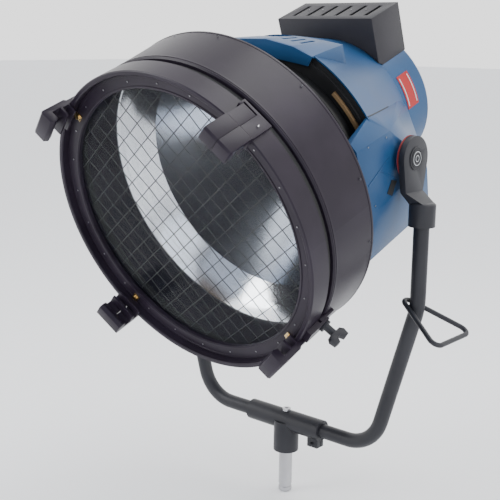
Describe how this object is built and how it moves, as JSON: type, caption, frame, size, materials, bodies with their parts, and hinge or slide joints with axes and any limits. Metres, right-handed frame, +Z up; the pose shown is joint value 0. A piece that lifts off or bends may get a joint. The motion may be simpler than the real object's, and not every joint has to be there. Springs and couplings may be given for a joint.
{
  "type": "daylight spotlight",
  "caption": "Large studio spotlight head: deep mirror reflector behind a meshed glass door, vented faceted housing, tube yoke and stand spigot",
  "frame": {"origin": "middle of the spigot's shoulder, where the collar's underside rests on the stand", "axes": "+Z up through the yoke, -Y the way the lens faces, +X along the tilt axis towards the arm with the loop handle"},
  "size_m": [0.7296, 0.7982, 1.0378],
  "materials": {
    "dark_enamel": "satin dark grey enamel",
    "cap_metal": "satin aluminium cap",
    "steel": "zinc-plated steel",
    "drum_paint": "satin dark grey-purple paint",
    "black_paint": "matte black heat-proof paint",
    "tan_strip": "tan fibre strip",
    "blue_paint": "satin steel-blue powder coat",
    "vent_paint": "matte dark grey powder coat",
    "red_disc": "dull red friction lining",
    "red_label": "plain red plate, no lettering",
    "mirror": "polished specular reflector",
    "bare_aluminium": "bare aluminium",
    "black_plastic": "black moulded plastic",
    "lamp_glass": "clear quartz envelope",
    "ceramic": "off-white ceramic",
    "gasket": "black silicone",
    "lens_glass": "clear flat safety glass",
    "mesh_wire": "fine steel wire",
    "clip_brass": "brass clips"
  },
  "bodies": {
    "yoke": {"yoke_tube": "dark_enamel", "yoke_casting_right": "dark_enamel", "yoke_casting_left": "dark_enamel", "pivot_cap": "cap_metal", "yoke_sleeve": "dark_enamel", "sleeve_clamp": "dark_enamel", "sleeve_bolt": "steel", "collar": "dark_enamel", "spigot": "steel", "loop_handle": "dark_enamel"},
    "head": {"drum": "drum_paint", "drum_rear_plate": "drum_paint", "drum_screws": "steel", "neck": "black_paint", "bulkhead": "black_paint", "glow_strip": "tan_strip", "body_cone": "blue_paint", "rear_housing": "blue_paint", "rear_cover": "vent_paint", "top_deck": "blue_paint", "side_pod_right": "blue_paint", "side_pod_left": "blue_paint", "pivot_hub_right": "blue_paint", "pivot_hub_left": "blue_paint", "friction_disc_right": "red_disc", "friction_disc_left": "red_disc", "vent_cap": "vent_paint", "body_screws": "steel", "label_plate": "red_label", "reflector_band": "mirror", "reflector_bowl": "mirror", "ignitor_box": "bare_aluminium", "cable_gland": "black_plastic", "switch_bezel": "black_plastic", "hinge_leaf_drum": "steel", "latch_keeper": "drum_paint"},
    "lamp": {"lamp_bulb": "lamp_glass", "lamp_base": "ceramic", "lamp_socket": "ceramic", "lamp_carriage": "bare_aluminium"},
    "focus_screw": {"focus_knob": "black_plastic"},
    "rocker": {"switch_rocker": "black_plastic"},
    "door": {"door_ring": "drum_paint", "door_gasket": "gasket", "lens_frame": "drum_paint", "lens_glass": "lens_glass", "wire_mesh": "mesh_wire", "glass_clips": "clip_brass", "door_screws": "steel", "bracket_upper_left": "drum_paint", "bracket_lower_left": "drum_paint", "bracket_lower_right": "drum_paint", "bracket_upper_right": "drum_paint", "hinge_leaf_door": "steel", "door_lug": "drum_paint"},
    "latch": {"accessory_latch": "drum_paint"},
    "door_lock": {"door_knob": "dark_enamel"},
    "tilt_lock": {"tilt_lever": "black_plastic"}
  },
  "joints": [
    {"name": "tilt", "type": "hinge", "parent": "yoke", "child": "head", "pos_m": [0, 0, 0.655], "axis": [1, 0, 0], "range_deg": [-70, 25]},
    {"name": "tilt_lock_turn", "type": "hinge", "parent": "yoke", "child": "tilt_lock", "pos_m": [-0.3, 0, 0.655], "axis": [1, 0, 0], "range_deg": [-60, 30]},
    {"name": "door_hinge", "type": "hinge", "parent": "head", "child": "door", "pos_m": [-0.24997, -0.34819, 0.72676], "axis": [-0.6018, 0.2777, -0.7488], "range_deg": [0, 100]},
    {"name": "door_knob_turn", "type": "hinge", "parent": "head", "child": "door_lock", "pos_m": [0.25556, -0.2143, 0.37011], "axis": [0.7986, 0.2093, -0.5643], "range_deg": [-90, 90]},
    {"name": "accessory_latch_lift", "type": "hinge", "parent": "door", "child": "latch", "pos_m": [0.21468, -0.37281, 0.74569], "axis": [-0.7071, -0.2459, 0.663], "range_deg": [0, 60], "stiffness_Nm_per_rad": 0.15, "springref_deg": -34.38},
    {"name": "focus", "type": "hinge", "parent": "head", "child": "focus_screw", "pos_m": [0, 0.3032, 0.67147], "axis": [0, -0.9376, -0.3478], "range_deg": [-560, 560]},
    {"name": "lamp_slide", "type": "slide", "parent": "head", "child": "lamp", "axis": [0, -0.9376, -0.3478], "range_m": [-0.015, 0.015]},
    {"name": "switch", "type": "hinge", "parent": "head", "child": "rocker", "pos_m": [-0.075, 0.22572, 0.80271], "axis": [1, 0, 0], "range_deg": [-8, 8]}
  ],
  "couplings": [
    {"joint": "focus", "follows": "lamp_slide", "rad_per_m": 628.32}
  ]
}
